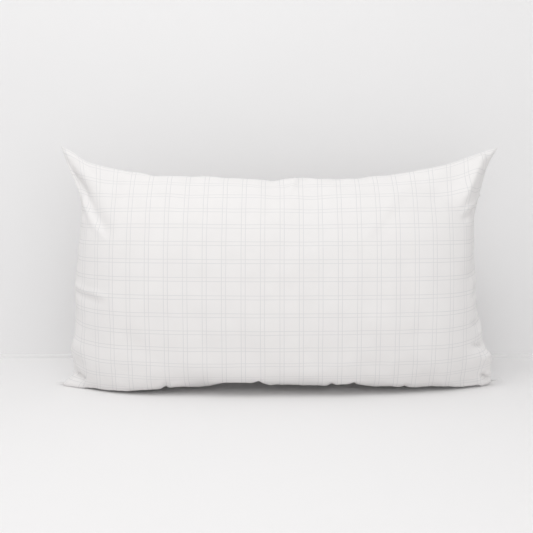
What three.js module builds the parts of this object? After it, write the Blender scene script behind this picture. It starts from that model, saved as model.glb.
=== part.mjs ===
// A king-size bed pillow standing on one long edge and leaning back a little.
//
// The pillow is a knife-edge casing of two ticking panels, sewn together along all
// four sides, around one loose body of polyester fibre. Millimetres, +Z up, +X along
// the pillow, -Y towards its front panel, origin under the middle of its box.
//
// Every surface comes from one function of two parameters, u across the pillow and v
// up it, each from -1 to 1. The outline's sides pull in between four pointed ears, and
// the crown rises steeply from the seam and is nearly flat in the middle.

import * as THREE from "three";

// Overall sizes of the filled pillow
const earToEarWidth = 878;
const earToBaseHeight = 488;
const crownThickness = 236;

// How the filled casing draws in and settles
const topEdgeSag = 60;
const sideEdgeSag = 33;
const leanDegrees = 6;
const footHalfWidth = 42;

// Layers, from the outside in
const tickingThickness = 0.8;
const threadRadius = 0.5;
const clearance = 0.4;
const threadInset = 2.5;
const fillInset = 14;
const fillFootGap = 1.2;

// Care label, sewn into the closing seam and folded onto the back panel
const labelLength = 44;
const labelWidth = 30;
const labelThickness = 0.6;
const labelHeight = 170;

// Exponents of the outline and the crown
const topEdgePower = 3.2;
const sideEdgePower = 4;
const crownPowerAcross = 4.6;
const crownPowerUp = 2.7;
const crownRoundness = 0.75;

// Mesh steps
const stepsAcross = 26;
const stepsUp = 14;
const threadSides = 5;
const labelSteps = 5;

// The stitches stop this far along a seam, and the side seams' start this far up
const seamEnd = 0.985;
const stitchStart = 14;

const FRONT = -1;
const BACK = 1;
const lean = THREE.MathUtils.degToRad(leanDegrees);
const seamHalfGap = threadRadius + clearance;

const colours = {
  ticking: new THREE.MeshStandardMaterial({ color: 0xf1f0ef, roughness: 0.9, metalness: 0 }),
  thread: new THREE.MeshStandardMaterial({ color: 0xf6f5f3, roughness: 0.7, metalness: 0 }),
  fibre: new THREE.MeshStandardMaterial({ color: 0xfbfbfb, roughness: 1, metalness: 0 }),
  label: new THREE.MeshStandardMaterial({ color: 0xffffff, roughness: 0.6, metalness: 0 }),
};

// Parameter values from -1 to 1, closer together towards the seams.
function crowdedSteps(count) {
  return Array.from({ length: count + 1 }, (_, i) => {
    const t = (2 * i) / count - 1;
    return Math.sin((Math.PI / 2) * t) * 0.85 + t * 0.15;
  });
}

// How far below its middle, as a v, the crown is as thin as the foot is wide.
const footV = (1 - (footHalfWidth / (crownThickness / 2)) ** (1 / crownRoundness)) ** (1 / crownPowerUp);

// Half the distance between the panels' inner faces, beyond the gap at the seam.
function crown(u, v) {
  const across = 1 - Math.abs(u) ** crownPowerAcross;
  const up = 1 - Math.abs(v < 0 ? v * footV : v) ** crownPowerUp;
  return (crownThickness / 2 - seamHalfGap - tickingThickness) * (across * up) ** crownRoundness;
}

// A point at a distance out of the pillow's own leaning plane. Each strip of it, at one
// u, starts on the floor and ends at the top seam. inset draws the outline in.
function stand(u, v, outwards, inset, floorLevel) {
  const halfWidth = earToEarWidth / 2 - sideEdgeSag * (1 - Math.abs(v) ** sideEdgePower);
  const top = earToBaseHeight - topEdgeSag * (1 - Math.abs(u) ** topEdgePower) - inset;
  const bottom = (floorLevel + outwards * Math.sin(lean)) / Math.cos(lean);
  const up = THREE.MathUtils.mapLinear(v, -1, 1, bottom, top);
  return new THREE.Vector3(
    u * (halfWidth - inset),
    up * Math.sin(lean) + outwards * Math.cos(lean),
    up * Math.cos(lean) - outwards * Math.sin(lean),
  );
}

// One point of a layer. inset draws its outline in, offset moves it off the crown, and
// floorLevel is the height of its flat foot.
function layerPoint(u, v, side, { inset, offset, floorLevel }) {
  return stand(u, v, side * (crown(u, v) + offset), inset, floorLevel);
}

// A layer's rows of points: the edge of its foot at the bottom seam, then up the crown.
function layerRows(side, layer) {
  const us = crowdedSteps(stepsAcross);
  const foot = us.map((u) => stand(u, -1, side * layer.offset, layer.inset, layer.floorLevel));
  const rows = crowdedSteps(stepsUp).map((v) => us.map((u) => layerPoint(u, v, side, layer)));
  return [foot, ...rows];
}

const panelOutside = {
  inset: 0,
  offset: seamHalfGap + tickingThickness,
  floorLevel: 0,
};
const panelInside = {
  inset: tickingThickness,
  offset: seamHalfGap,
  floorLevel: tickingThickness,
};
const fillOutside = {
  inset: fillInset,
  offset: 0,
  floorLevel: tickingThickness + fillFootGap,
};

// A closed mesh from vertices and faces, turned so that its faces point outwards.
function solid(name, points, triangles, material) {
  const geometry = new THREE.BufferGeometry().setFromPoints(points);
  let volume = 0;
  for (const [a, b, c] of triangles) {
    volume += points[a].dot(points[b].clone().cross(points[c]));
  }
  const outward = volume < 0 ? triangles.map(([a, b, c]) => [a, c, b]) : triangles;
  geometry.setIndex(outward.flat());
  geometry.computeVertexNormals();
  const mesh = new THREE.Mesh(geometry, material);
  mesh.name = name;
  return mesh;
}

// Two triangles for each cell of a grid whose rows are lists of vertex numbers.
function gridTriangles(rows, flipped) {
  const triangles = [];
  for (let j = 0; j + 1 < rows.length; j += 1) {
    for (let i = 0; i + 1 < rows[j].length; i += 1) {
      const [a, b, c, d] = [rows[j][i], rows[j][i + 1], rows[j + 1][i + 1], rows[j + 1][i]];
      triangles.push(...(flipped ? [[a, c, b], [a, d, c]] : [[a, b, c], [a, c, d]]));
    }
  }
  return triangles;
}

// The vertex numbers round the edge of a grid, in order.
function border(rows) {
  const right = rows.map((row) => row.at(-1));
  const left = rows.map((row) => row[0]);
  return [
    ...rows[0],
    ...right.slice(1),
    ...rows.at(-1).slice(0, -1).reverse(),
    ...left.slice(1, -1).reverse(),
  ];
}

// A sheet with two faces, given as equal grids of points, closed round its edge.
function sheetSolid(name, outerGrid, innerGrid, material) {
  const points = [...outerGrid.flat(), ...innerGrid.flat()];
  const width = outerGrid[0].length;
  const number = (first) => outerGrid.map((row, j) => row.map((_, i) => first + j * width + i));
  const outerRows = number(0);
  const innerRows = number(outerGrid.length * width);
  const triangles = [...gridTriangles(outerRows, false), ...gridTriangles(innerRows, true)];
  const outerRim = border(outerRows);
  const innerRim = border(innerRows);
  outerRim.forEach((a, k) => {
    const next = (k + 1) % outerRim.length;
    triangles.push([a, innerRim[k], innerRim[next]], [a, innerRim[next], outerRim[next]]);
  });
  return solid(name, points, triangles, material);
}

// One ticking panel, from its outer face to its inner one.
function panel(name, side) {
  const outer = layerRows(side, panelOutside);
  const inner = layerRows(side, panelInside);
  return sheetSolid(name, outer, inner, colours.ticking);
}

// The fibre body: a front and a back face that meet along its edge.
function fibreFill() {
  const points = [];
  const numbered = (rows, shared) =>
    rows.map((row, j) =>
      row.map((point, i) => {
        const onEdge = j === 0 || j === rows.length - 1 || i === 0 || i === row.length - 1;
        if (shared && onEdge) return shared[j][i];
        points.push(point);
        return points.length - 1;
      }),
    );
  const front = numbered(layerRows(FRONT, fillOutside), null);
  const back = numbered(layerRows(BACK, fillOutside), front);
  const triangles = [...gridTriangles(front, false), ...gridTriangles(back, true)];
  return solid("fibre_fill", points, triangles, colours.fibre);
}

// A row of stitches: a thin cord in the slit between the panels, just inside the edge.
function seamThread(name, us, vs) {
  const path = us.flatMap((u) =>
    vs.map((v) => stand(u, v, 0, threadInset, threadRadius + clearance)),
  );
  const rings = path.map((centre, k) => {
    const ahead = path[Math.min(k + 1, path.length - 1)];
    const behind = path[Math.max(k - 1, 0)];
    const direction = ahead.clone().sub(behind).normalize();
    const sideways = new THREE.Vector3(0, Math.cos(lean), -Math.sin(lean));
    const across = direction.clone().cross(sideways).normalize();
    return Array.from({ length: threadSides }, (_, i) => {
      const angle = (2 * Math.PI * i) / threadSides;
      return centre
        .clone()
        .addScaledVector(sideways, threadRadius * Math.cos(angle))
        .addScaledVector(across, threadRadius * Math.sin(angle));
    });
  });
  const points = rings.flat();
  const triangles = [];
  for (let k = 0; k + 1 < rings.length; k += 1) {
    for (let i = 0; i < threadSides; i += 1) {
      const next = (i + 1) % threadSides;
      const [a, b] = [k * threadSides + i, k * threadSides + next];
      triangles.push([a, b, b + threadSides], [a, b + threadSides, a + threadSides]);
    }
  }
  const last = (rings.length - 1) * threadSides;
  for (let i = 1; i + 1 < threadSides; i += 1) {
    triangles.push([0, i + 1, i], [last, last + i, last + i + 1]);
  }
  return solid(name, points, triangles, colours.thread);
}

// Parameter values along a seam, from a first one to just short of the far ear.
function stitchSteps(count, first) {
  return crowdedSteps(count).map((t) => THREE.MathUtils.mapLinear(t, -1, 1, first, seamEnd));
}

// The v of a point on a side seam that is this far up the pillow from the floor.
function heightParameter(up) {
  return (2 * up) / earToBaseHeight - 1;
}

// The blank care label: from beside the closing seam's thread, over the back panel's
// rim and along the back panel.
function careLabel() {
  const vs = Array.from({ length: labelSteps + 1 }, (_, j) =>
    heightParameter(labelHeight + labelWidth * (j / labelSteps - 1 / 2)),
  );
  const reach = (2 * labelLength) / earToEarWidth;
  const us = Array.from({ length: labelSteps + 1 }, (_, i) => 1 - (reach * i) / labelSteps);
  const face = (gap) =>
    vs.map((v) => {
      const layer = { ...panelOutside, inset: -gap, offset: panelOutside.offset + gap };
      const onPanel = us.map((u) => layerPoint(u, v, BACK, layer));
      return [stand(1, v, clearance, -gap, 0), ...onPanel];
    });
  return sheetSolid("care_label", face(clearance + labelThickness), face(clearance), colours.label);
}

const pillow = new THREE.Group();
pillow.add(
  panel("front_panel", FRONT),
  panel("back_panel", BACK),
  fibreFill(),
  seamThread("top_seam_stitching", stitchSteps(stepsAcross, -seamEnd), [1]),
  seamThread("bottom_seam_stitching", stitchSteps(stepsAcross, -seamEnd), [-1]),
  seamThread("left_seam_stitching", [-1], stitchSteps(stepsUp, heightParameter(stitchStart))),
  seamThread("closing_seam_stitching", [1], stitchSteps(stepsUp, heightParameter(stitchStart))),
  careLabel(),
);

// The origin goes under the middle of the whole pillow's box.
const box = new THREE.Box3().setFromObject(pillow, true);
const centre = box.getCenter(new THREE.Vector3());
pillow.position.set(-centre.x, -centre.y, 0);

export default pillow;
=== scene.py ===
"""Looks of a king-size bed pillow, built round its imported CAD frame.

The pillow stands on one long edge and leans back a little. Its casing is two ticking
panels sewn together along knife-edge seams. The casing starts as a formula near its
filled shape, and Blender's Cloth then settles it under pressure, its own weight and the
floor. The ears, the foot, the creases and the seams' gathers are formulas added to the
settled shape. Every other piece is worked out from the finished panels. Metres, +Z up,
+X along the pillow, -Y out of its front panel.
"""

import math

import bpy
import numpy as np
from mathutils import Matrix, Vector


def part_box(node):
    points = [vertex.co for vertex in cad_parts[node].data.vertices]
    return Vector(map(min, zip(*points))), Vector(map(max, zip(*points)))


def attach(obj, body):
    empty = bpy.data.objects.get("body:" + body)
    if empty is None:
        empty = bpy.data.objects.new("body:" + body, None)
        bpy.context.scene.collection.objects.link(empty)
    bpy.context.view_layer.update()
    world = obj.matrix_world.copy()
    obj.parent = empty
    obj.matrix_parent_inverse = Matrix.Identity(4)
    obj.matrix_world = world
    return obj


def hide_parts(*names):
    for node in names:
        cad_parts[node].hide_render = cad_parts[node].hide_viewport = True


bl_info = {
    "name": "Bed pillow",
    "version": (1, 0, 0),
    "blender": (4, 5, 0),
    "location": "3D View > Sidebar > Pillow",
    "description": "Builds the casing, filling, stitching, care label and stage of a bed pillow",
    "category": "Object",
}

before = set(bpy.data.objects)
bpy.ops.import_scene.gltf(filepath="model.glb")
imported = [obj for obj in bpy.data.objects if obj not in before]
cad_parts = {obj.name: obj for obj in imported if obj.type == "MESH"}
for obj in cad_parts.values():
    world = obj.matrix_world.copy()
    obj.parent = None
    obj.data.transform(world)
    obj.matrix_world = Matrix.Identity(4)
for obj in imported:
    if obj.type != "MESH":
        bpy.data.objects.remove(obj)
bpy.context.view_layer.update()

panel_low, panel_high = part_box("front_panel")
seam_low, seam_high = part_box("bottom_seam_stitching")
label_low, label_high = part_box("care_label")

# The two panels, as the sign of their side of the seams along Y
FRONT = -1
BACK = 1

# The base seam's line on the floor, as the CAD has it
SEAM_Y = (seam_low.y + seam_high.y) / 2


class PillowSizes(bpy.types.PropertyGroup):
    """Sizes of the pillow and of its cloth."""

    cut_width: bpy.props.FloatProperty(
        name="Cut width",
        description="Width of each flat ticking panel, from side seam to side seam",
        default=0.914,
        unit="LENGTH",
    )
    cut_height: bpy.props.FloatProperty(
        name="Cut height",
        description="Height of each flat ticking panel, from seam to seam",
        default=0.508,
        unit="LENGTH",
    )
    ear_width: bpy.props.FloatProperty(
        name="Ear to ear",
        description="Filled width between the tips of the ears",
        default=round(panel_high.x - panel_low.x, 3) - 0.004,
        unit="LENGTH",
    )
    ear_height: bpy.props.FloatProperty(
        name="Ear height",
        description="Height of the upper ears above the base seam, along the lean",
        default=0.483,
        unit="LENGTH",
    )
    thickness: bpy.props.FloatProperty(
        name="Crown",
        description="Thickness of the filled pillow at its crown before it settles",
        default=0.232,
        unit="LENGTH",
    )
    foot: bpy.props.FloatProperty(
        name="Half foot",
        description="Half the width of the flat foot that the pillow stands on",
        default=0.036,
        unit="LENGTH",
    )
    top_sag: bpy.props.FloatProperty(
        name="Top sag",
        description="How far the top seam dips between its ears",
        default=0.058,
        unit="LENGTH",
    )
    side_sag: bpy.props.FloatProperty(
        name="Side sag",
        description="How far each side seam draws in between its ears",
        default=0.033,
        unit="LENGTH",
    )
    lean: bpy.props.FloatProperty(
        name="Lean",
        description="How far the pillow leans back",
        default=math.radians(6),
        subtype="ANGLE",
    )
    cell: bpy.props.FloatProperty(
        name="Cloth cell",
        description="Side of one cell of the cloth while it settles",
        default=0.008,
        unit="LENGTH",
    )
    ticking: bpy.props.FloatProperty(
        name="Ticking",
        description="Thickness of the ticking",
        default=0.0004,
        unit="LENGTH",
    )
    filled_weight: bpy.props.FloatProperty(
        name="Filled weight",
        description="Weight of the filled pillow, in newtons",
        default=12,
    )
    thread: bpy.props.FloatProperty(
        name="Thread",
        description="Radius of the sewing thread",
        default=0.0004,
        unit="LENGTH",
    )
    stitch: bpy.props.FloatProperty(
        name="Stitch",
        description="Length of one stitch",
        default=0.0045,
        unit="LENGTH",
    )


class PillowLooks(bpy.types.PropertyGroup):
    """Colours and cloth pattern of the pillow."""

    ticking_colour: bpy.props.FloatVectorProperty(
        name="Ticking colour",
        description="Colour of the ticking's ground",
        default=(0.855, 0.839, 0.832),
        subtype="COLOR",
    )
    check_colour: bpy.props.FloatVectorProperty(
        name="Check colour",
        description="Colour of the check's fine lines",
        default=(0.70, 0.695, 0.70),
        subtype="COLOR",
    )
    check_across: bpy.props.FloatProperty(
        name="Check across",
        description="Distance from one upright pair of lines to the next",
        default=0.0381,
        unit="LENGTH",
    )
    check_up: bpy.props.FloatProperty(
        name="Check up",
        description="Distance from one level pair of lines to the next",
        default=0.0322,
        unit="LENGTH",
    )
    check_start_across: bpy.props.FloatProperty(
        name="Check start across",
        description="Place of one upright pair, from the panel's middle",
        default=0.006,
        unit="LENGTH",
    )
    check_start_up: bpy.props.FloatProperty(
        name="Check start up",
        description="Place of one level pair, above the base seam",
        default=0.2765,
        unit="LENGTH",
    )
    pair_across: bpy.props.FloatProperty(
        name="Upright pair",
        description="Distance between the two upright lines of a pair",
        default=0.0082,
        unit="LENGTH",
    )
    pair_up: bpy.props.FloatProperty(
        name="Level pair",
        description="Distance between the two level lines of a pair",
        default=0.0068,
        unit="LENGTH",
    )
    line_width: bpy.props.FloatProperty(
        name="Line width",
        description="Half the width of one line of the check, with its soft edges",
        default=0.0007,
        unit="LENGTH",
    )
    yarn: bpy.props.FloatProperty(
        name="Yarn",
        description="Distance from one yarn of the weave to the next",
        default=0.0006,
        unit="LENGTH",
    )
    thread_colour: bpy.props.FloatVectorProperty(
        name="Thread colour",
        description="Colour of the sewing thread",
        default=(0.9, 0.9, 0.89),
        subtype="COLOR",
    )
    fibre_colour: bpy.props.FloatVectorProperty(
        name="Fibre colour",
        description="Colour of the polyester fibre",
        default=(0.93, 0.93, 0.93),
        subtype="COLOR",
    )
    label_colour: bpy.props.FloatVectorProperty(
        name="Label colour",
        description="Colour of the satin care label",
        default=(0.92, 0.92, 0.92),
        subtype="COLOR",
    )
    floor_colour: bpy.props.FloatVectorProperty(
        name="Floor colour",
        description="Colour of the studio floor",
        default=(0.88, 0.872, 0.872),
        subtype="COLOR",
    )
    wall_colour: bpy.props.FloatVectorProperty(
        name="Wall colour",
        description="Colour of the studio backdrop",
        default=(0.885, 0.88, 0.881),
        subtype="COLOR",
    )


# ---------------------------------------------------------------- grids and meshes


def running_length(*coordinates):
    """Length along a curve up to each of its points, from 0."""
    steps = np.sqrt(sum(np.diff(c) ** 2 for c in coordinates))
    return np.concatenate([[0.0], np.cumsum(steps)])


def smooth_step(x):
    """0 below 0, 1 above 1 and 3x^2 - 2x^3 between them."""
    t = np.clip(x, 0, 1)
    return t * t * (3 - 2 * t)


def panel_parameters(sizes):
    """Grids of p across and q up, each from -1 to 1, with even cells of cloth."""
    across = 2 * round(sizes.cut_width / sizes.cell / 2)
    up = 2 * round(sizes.cut_height / sizes.cell / 2)
    return np.meshgrid(np.linspace(-1, 1, across + 1), np.linspace(-1, 1, up + 1))


def flat_places(sizes, p, q):
    """Where each point of a grid lies on the flat cut: across from its middle, and up."""
    return p * sizes.cut_width / 2, (q + 1) * sizes.cut_height / 2


# Powers of the crown's two profiles, and how late the outline turns out to the ears
CROWN_POWER_ACROSS = 4.6
CROWN_POWER_UP = 2.6
CROWN_ROUNDNESS = 0.72
EAR_POWER = 8
SIDE_POWER = 4

# How the top seam rises to its ears: one power on the right, and on the left a mix of
# two, as (share, power)
TOP_POWER_RIGHT = 3.6
TOP_POWERS_LEFT = ((0.7, 8), (0.3, 2))

# Points along a profile, from which even steps are read, and along its foot
PROFILE_STEPS = 801
FOOT_STEPS = 20


def upright_profile(sizes, q):
    """Half thickness and height of the middle strip at each q, evenly along its cloth,
    and the strip's whole length.

    The strip runs from the base seam along the flat foot, then up the crown, whose half
    thickness is T/2 (1 - |v|^2.6)^0.72 with v from where it is as thin as the foot to 1.
    """
    half = sizes.thickness / 2
    start = (1 - (sizes.foot / half) ** (1 / CROWN_ROUNDNESS)) ** (1 / CROWN_POWER_UP)
    v = np.linspace(-1, 1, PROFILE_STEPS)
    towards_seam = np.abs(np.where(v < 0, v * start, v))
    crown = half * (1 - towards_seam**CROWN_POWER_UP).clip(0) ** CROWN_ROUNDNESS
    height = (v + 1) / 2 * (sizes.ear_height - sizes.top_sag)
    out = np.concatenate([np.linspace(0, crown[0], FOOT_STEPS, endpoint=False), crown])
    up = np.concatenate([np.zeros(FOOT_STEPS), height])
    length = running_length(out, up)
    along = (q + 1) / 2 * length[-1]
    return np.interp(along, length, out), np.interp(along, length, up), length[-1]


def level_profile(sizes, p):
    """Place across and share of the crown of the middle row at each p, evenly along its
    cloth. The share is (1 - |u|^4.6)^0.72 with u from 0 in the middle to 1 at the side."""
    reach = sizes.ear_width / 2 - sizes.side_sag
    u = np.linspace(0, 1, PROFILE_STEPS)
    share = (1 - u**CROWN_POWER_ACROSS).clip(0) ** CROWN_ROUNDNESS
    length = running_length(share * sizes.thickness / 2, u * reach)
    at = np.interp(np.abs(p) * length[-1], length, u)
    return at * reach, (1 - at**CROWN_POWER_ACROSS).clip(0) ** CROWN_ROUNDNESS


def filled_panel(sizes, p, q, side):
    """A panel of the filled casing before it settles, as a grid of points.

    Each point is the product of an upright and a level profile, which are even along the
    cloth, so that the cloth starts with hardly any stretch. The side seams bow in and the
    top seam dips as powers of p and q, and each strip ends on the seams. A strip's rise up
    its own leaning plane is mixed with an even one near the side seams.
    """
    out, height, strip = upright_profile(sizes, q[:, 0])
    reach, share = level_profile(sizes, p[0])
    outline = np.abs(p) ** EAR_POWER
    x = np.sign(p) * (reach + sizes.side_sag * np.abs(q) ** SIDE_POWER * outline)
    out_to_ear = np.abs(x) / (sizes.ear_width / 2)
    left_rise = sum(part * out_to_ear**power for part, power in TOP_POWERS_LEFT)
    rise = sizes.top_sag * np.where(x < 0, left_rise, out_to_ear**TOP_POWER_RIGHT)
    t = (q + 1) / 2
    middle = height[:, None] + rise * t**EAR_POWER
    foot_share = 2 * sizes.foot / strip
    even = np.clip((q + 1 - foot_share) / (2 - foot_share), 0, 1)
    even = even * (sizes.ear_height - sizes.top_sag + rise)
    out = side * share * out[:, None]
    up = (1 - outline) * middle + outline * even + out * math.tan(sizes.lean) * (1 - t)
    return leaning(sizes, x, up, out)


def plane_normal(sizes):
    """The direction out of the leaning plane, towards the back."""
    return np.array([0, math.cos(sizes.lean), -math.sin(sizes.lean)])


def leaning(sizes, x, up, out):
    """Points at x, up the leaning plane and out of it, with the base seam on the floor."""
    y = SEAM_Y + up * math.sin(sizes.lean) + out * math.cos(sizes.lean)
    z = up * math.cos(sizes.lean) - out * math.sin(sizes.lean)
    return np.stack([x, y, z], -1)


def numbered(shape, first=0):
    """Vertex numbers of a grid of this shape, row by row."""
    return first + np.arange(shape[0] * shape[1]).reshape(shape[:2])


def grid_faces(numbers, flipped=False):
    """One quad for each cell of a grid of vertex numbers."""
    low, high = numbers[:-1], numbers[1:]
    quads = np.stack([low[:, :-1], low[:, 1:], high[:, 1:], high[:, :-1]], -1).reshape(-1, 4)
    return quads[:, ::-1] if flipped else quads


def border_loop(numbers):
    """The vertex numbers round the edge of a grid, anticlockwise from its first."""
    return np.concatenate(
        [numbers[0, :-1], numbers[:-1, -1], numbers[-1, :0:-1], numbers[:0:-1, 0]]
    )


def rim_faces(outer, inner):
    """Quads that join two closed loops of the same number of vertices."""
    return np.stack([outer, inner, np.roll(inner, -1), np.roll(outer, -1)], -1)


def cross_normals(grid):
    """Unit normals of a grid of points: the cross product of its rows' and columns' slopes."""
    normal = np.cross(np.gradient(grid, axis=1), np.gradient(grid, axis=0))
    return normal / np.linalg.norm(normal, axis=-1, keepdims=True).clip(1e-12)


def refined(grid):
    """The grid with a point put between each two, by the four-point rule: 9/16 of each
    neighbour less 1/16 of each one beyond."""
    for axis in (0, 1):
        grid = np.moveaxis(grid, axis, 0)
        before = 2 * grid[:1] - grid[1:2]
        after = 2 * grid[-1:] - grid[-2:-1]
        padded = np.concatenate([before, grid, after])
        middles = (9 * (padded[1:-2] + padded[2:-1]) - padded[:-3] - padded[3:]) / 16
        finer = np.empty((2 * len(grid) - 1, *grid.shape[1:]))
        finer[::2] = grid
        finer[1::2] = middles
        grid = np.moveaxis(finer, 0, axis)
    return grid


def signed_volume(points, quads):
    """Volume inside closed quads: a sixth of the sum of their triangles' products."""
    a, b, c, d = (points[quads[:, k]] for k in range(4))
    triangles = np.cross(b, c) + np.cross(c, d)
    return float(np.einsum("ij,ij->", a, triangles)) / 6


def new_piece(name, points, faces, material, smooth=True, uv=None, sharp=None):
    """A mesh object at the origin. uv is one pair for each vertex. An edge shades sharply
    where sharp is True at both its ends."""
    mesh = bpy.data.meshes.new(name)
    lists = faces.tolist() if isinstance(faces, np.ndarray) else faces
    mesh.from_pydata(points.reshape(-1, 3).tolist(), [], lists)
    mesh.polygons.foreach_set("use_smooth", np.full(len(mesh.polygons), smooth))
    if uv is not None:
        corners = np.empty(len(mesh.loops), np.int32)
        mesh.loops.foreach_get("vertex_index", corners)
        layer = mesh.uv_layers.new(name="cut")
        layer.data.foreach_set("uv", uv.reshape(-1, 2)[corners].astype(np.float32).ravel())
    if sharp is not None:
        ends = np.empty(2 * len(mesh.edges), np.int32)
        mesh.edges.foreach_get("vertices", ends)
        ends = ends.reshape(-1, 2)
        marks = mesh.attributes.new("sharp_edge", "BOOLEAN", "EDGE")
        marks.data.foreach_set("value", sharp[ends[:, 0]] & sharp[ends[:, 1]])
    mesh.materials.append(material)
    piece = bpy.data.objects.new(name, mesh)
    bpy.context.scene.collection.objects.link(piece)
    return piece


def cloth_shell(name, outer, uv, thickness, material, flipped=False):
    """A closed sheet: the outer grid, the same grid moved in along its normals by the
    cloth's thickness, and a rim. The outer grid's vertices come first."""
    inwards = thickness if flipped else -thickness
    inner = outer + inwards * cross_normals(outer)
    numbers = numbered(outer.shape)
    behind = numbered(outer.shape, numbers.size)
    edge, edge_behind = border_loop(numbers), border_loop(behind)
    rim = rim_faces(edge, edge_behind)
    if flipped:
        rim = rim[:, ::-1]
    faces = np.concatenate([grid_faces(numbers, flipped), grid_faces(behind, not flipped), rim])
    sharp = np.zeros(2 * numbers.size, bool)
    sharp[edge] = True
    sharp[edge_behind] = True
    points = np.concatenate([outer.reshape(-1, 3), inner.reshape(-1, 3)])
    both = np.concatenate([uv.reshape(-1, 2)] * 2)
    return new_piece(name, points, faces, material, uv=both, sharp=sharp)


def outer_face(sizes, name):
    """The outer face of a finished panel, as the grid of points that it was made from."""
    p, _ = panel_parameters(sizes)
    rows, columns = 2 * p.shape[0] - 1, 2 * p.shape[1] - 1
    mesh = bpy.data.objects[name].data
    points = np.empty(3 * len(mesh.vertices), np.float32)
    mesh.vertices.foreach_get("co", points)
    return points.reshape(-1, 3)[: rows * columns].reshape(rows, columns, 3).astype(float)


# ---------------------------------------------------------------- settling the casing

SETTLE_FRAMES = 20
GRAVITY = 9.81
VERTEX_MASS = 0.02

# The start shape's unevenness and its least height above the floor
START_NOISE = 0.0003
NOISE_SEED = 4
START_CLEARANCE = 0.002

# The cloth is 2% longer at the seams, over a band beside them
SEAM_EASE = -0.02
EASE_BAND = 0.06
WEIGHT_STEPS = 40

REST_FLOOR_REACH = 2


def casing_mesh(sizes, p, q):
    """The closed casing before it settles: its points, its quads, the two panels' grids
    of vertex numbers and where a grid is clear of the seams, whose vertices they share."""
    front = filled_panel(sizes, p, q, FRONT)
    back = filled_panel(sizes, p, q, BACK)
    numbers = numbered(p.shape)
    inside = np.zeros(p.shape, bool)
    inside[1:-1, 1:-1] = True
    behind = numbers.copy()
    behind[inside] = p.size + np.arange(inside.sum())
    points = np.concatenate([front.reshape(-1, 3), back[inside]])
    noise = np.random.default_rng(NOISE_SEED).standard_normal(points.shape)
    points = points + START_NOISE * noise
    points[:, 2] = points[:, 2].clip(START_CLEARANCE)
    quads = np.concatenate([grid_faces(numbers), grid_faces(behind, True)])
    return points, quads, numbers, behind, inside


def ease_weights(sizes, p, q, inside):
    """0 at the seam, where the cloth is eased, to 1 in the middle of a panel."""
    to_side = (1 - np.abs(p)) * sizes.cut_width / 2
    to_top = (1 - np.abs(q)) * sizes.cut_height / 2
    weights = smooth_step(np.minimum(to_side, to_top) / EASE_BAND)
    return np.concatenate([weights.ravel(), weights[inside]])


def add_weights(piece, name, weights):
    """A vertex group whose weights are rounded to WEIGHT_STEPS steps."""
    group = piece.vertex_groups.new(name=name)
    rounded = np.rint(weights * WEIGHT_STEPS).astype(int)
    for step in np.unique(rounded):
        group.add(np.flatnonzero(rounded == step).tolist(), step / WEIGHT_STEPS, "REPLACE")


def rest_floor():
    """A floor that the cloth rests on while it settles."""
    r = REST_FLOOR_REACH
    corners = [(-r, -r, 0), (r, -r, 0), (r, r, 0), (-r, r, 0)]
    mesh = bpy.data.meshes.new("rest_floor")
    mesh.from_pydata(corners, [], [(0, 1, 2, 3)])
    floor = bpy.data.objects.new("rest_floor", mesh)
    bpy.context.scene.collection.objects.link(floor)
    floor.modifiers.new("rest", "COLLISION")
    floor.collision.thickness_outer = 0.001
    floor.collision.cloth_friction = 20
    floor.collision.damping = 0.9
    return floor


def settled(sizes, points, quads, weights):
    """The casing's points after Blender's Cloth has settled them.

    Air pressure holds the filling's volume, the pillow's weight pulls it onto the floor,
    and gravity is turned into the leaning plane, so that the pillow keeps its lean.
    """
    mesh = bpy.data.meshes.new("casing")
    mesh.from_pydata(points.tolist(), [], quads.tolist())
    casing = bpy.data.objects.new("casing", mesh)
    scene = bpy.context.scene
    scene.collection.objects.link(casing)
    add_weights(casing, "ease", weights)
    floor = rest_floor()
    modifier = casing.modifiers.new("settle", "CLOTH")
    cloth = modifier.settings
    cloth.quality = 8
    cloth.mass = VERTEX_MASS
    cloth.tension_stiffness = 40
    cloth.compression_stiffness = 40
    cloth.shear_stiffness = 10
    cloth.bending_stiffness = 0.02
    cloth.tension_damping = 5
    cloth.compression_damping = 5
    cloth.shear_damping = 5
    cloth.bending_damping = 0.05
    cloth.air_damping = 1
    cloth.use_pressure = True
    cloth.use_pressure_volume = True
    cloth.target_volume = signed_volume(points, quads)
    cloth.pressure_factor = 3000
    cloth.vertex_group_shrink = "ease"
    cloth.shrink_min = SEAM_EASE
    cloth.shrink_max = 0
    cloth.effector_weights.gravity = sizes.filled_weight / (len(points) * VERTEX_MASS * GRAVITY)
    modifier.collision_settings.use_collision = True
    modifier.collision_settings.distance_min = 0.002
    modifier.point_cache.frame_start = 1
    modifier.point_cache.frame_end = SETTLE_FRAMES + 1
    usual_gravity = scene.gravity.copy()
    scene.gravity = (0, -GRAVITY * math.sin(sizes.lean), -GRAVITY * math.cos(sizes.lean))
    for number in range(1, SETTLE_FRAMES + 1):
        scene.frame_set(number)
    result = casing.evaluated_get(bpy.context.evaluated_depsgraph_get())
    moved = np.empty(3 * len(points), np.float32)
    result.data.vertices.foreach_get("co", moved)
    scene.gravity = usual_gravity
    scene.frame_set(1)
    for piece in (casing, floor):
        data = piece.data
        bpy.data.objects.remove(piece)
        bpy.data.meshes.remove(data)
    return moved.reshape(-1, 3).astype(float)


def along_edge(values, axis):
    """The 1-2-1 mean of each value and its two neighbours along an axis, ends kept."""
    values = np.moveaxis(values, axis, 0).copy()
    values[1:-1] = (values[:-2] + 2 * values[1:-1] + values[2:]) / 4
    return np.moveaxis(values, 0, axis)


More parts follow.
